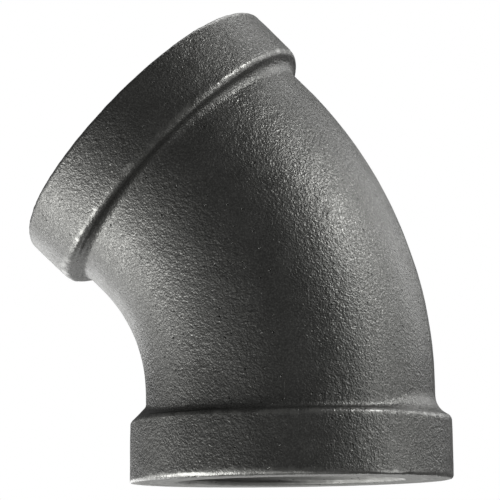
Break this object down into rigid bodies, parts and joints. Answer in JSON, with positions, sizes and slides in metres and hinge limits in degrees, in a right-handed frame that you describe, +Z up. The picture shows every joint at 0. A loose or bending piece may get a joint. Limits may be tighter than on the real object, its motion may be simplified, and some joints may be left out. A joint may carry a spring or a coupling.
{
  "type": "pipe elbow",
  "caption": "45 degree pipe elbow with a female tapered pipe thread and a round reinforcing band at each end, for turning a pipe run.",
  "frame": {"origin": "centre of the lower end face, on the lower bore's axis", "axes": "+Z up the lower bore's axis into the fitting; both bore axes lie in the XZ plane and the upper bore leans towards -X"},
  "size_m": [0.05, 0.0382, 0.0558],
  "materials": {
    "as_cast_iron": "as-cast malleable iron, dark grey and fine-grained, with machined end faces and threads"
  },
  "bodies": {
    "root": {"elbow_casting": "as_cast_iron"}
  },
  "joints": []
}
